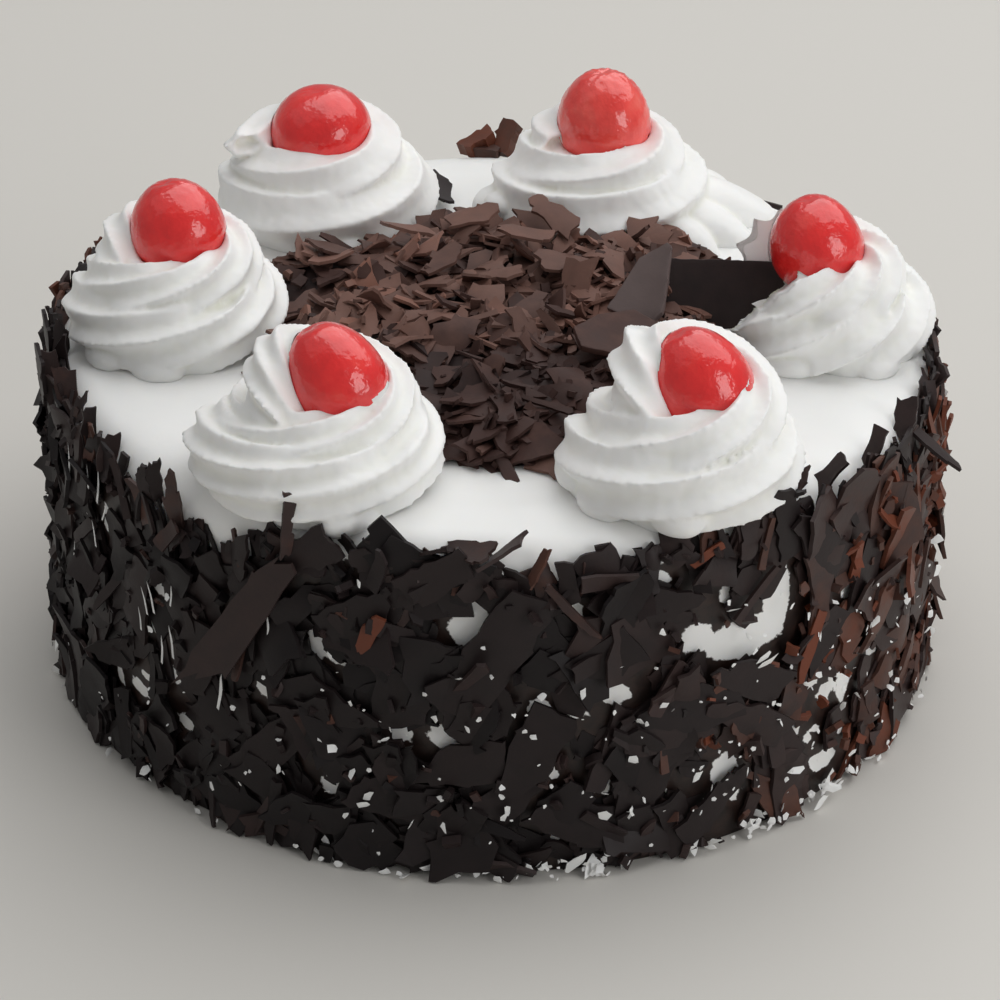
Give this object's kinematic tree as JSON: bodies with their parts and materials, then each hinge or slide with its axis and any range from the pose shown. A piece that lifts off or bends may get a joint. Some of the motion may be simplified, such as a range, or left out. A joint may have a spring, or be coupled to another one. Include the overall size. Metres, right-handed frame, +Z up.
{
  "type": "black forest cake",
  "caption": "Whole round cream cake with a chocolate-shaving side coat, a ring of piped cream rosettes topped with glazed cherries and a mound of shavings in the middle.",
  "frame": {"origin": "centre of the cake's flat base, on the surface it stands on", "axes": "+Z up through the cake's middle; -Y is the side facing the viewer, +X to the viewer's right"},
  "size_m": [0.1989, 0.1999, 0.1106],
  "materials": {
    "cream": "satin",
    "piped_cream": "satin",
    "dark_shavings": "matte",
    "brown_shavings": "matte",
    "glazed_cherry": "gloss",
    "dark_shard": "satin",
    "grey_brown_shard": "matte",
    "brown_shard": "matte"
  },
  "bodies": {
    "root": {"cake_body": "cream", "side_shavings": "dark_shavings", "top_shavings": "brown_shavings", "rosette_1": "piped_cream", "rosette_2": "piped_cream", "rosette_3": "piped_cream", "rosette_4": "piped_cream", "rosette_5": "piped_cream", "rosette_6": "piped_cream", "cherry_1": "glazed_cherry", "cherry_2": "glazed_cherry", "cherry_3": "glazed_cherry", "cherry_4": "glazed_cherry", "cherry_5": "glazed_cherry", "cherry_6": "glazed_cherry", "shard_slab": "dark_shard", "shard_curl": "grey_brown_shard", "shard_flat": "brown_shard"}
  },
  "joints": []
}
